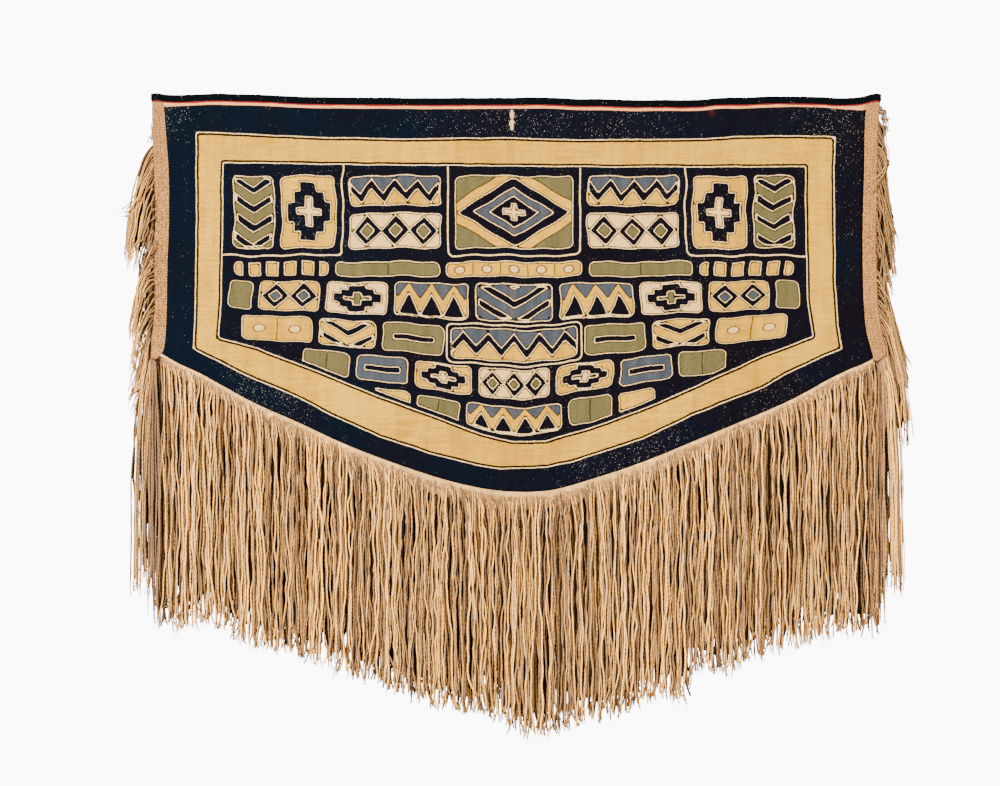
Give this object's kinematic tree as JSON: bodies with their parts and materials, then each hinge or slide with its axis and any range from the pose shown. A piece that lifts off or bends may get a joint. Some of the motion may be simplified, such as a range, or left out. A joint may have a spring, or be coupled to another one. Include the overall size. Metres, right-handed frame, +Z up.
{
  "type": "chilkat blanket",
  "caption": "Five-sided twined wool dance blanket with a bordered field, a cloth heading, plaited side strips and long fringes, hung flat by its top edge.",
  "frame": {"origin": "middle of the blanket's top edge, where the heading is hung", "axes": "+Z up, +X along the heading to the right as seen from the front, the front faces -Y"},
  "size_m": [1.7036, 0.033, 1.4117],
  "materials": {
    "wool_weave": "twined wool, matt, dyed near-black, yellow, blue-grey and green on a cream ground",
    "heading_cloth": "worn black wool cloth with a short nap",
    "red_cloth": "thin red wool cloth",
    "strip_yarn": "plaited undyed wool and bark yarn, matt",
    "fringe_yarn": "two-ply undyed wool and bark yarn, matt, ragged at the tips"
  },
  "bodies": {
    "root": {"woven_body": "wool_weave", "heading_band": "heading_cloth", "red_edging": "red_cloth", "side_strip_left": "strip_yarn", "side_strip_right": "strip_yarn", "side_fringe_left": "fringe_yarn", "side_fringe_right": "fringe_yarn", "bottom_fringe": "fringe_yarn"}
  },
  "joints": []
}
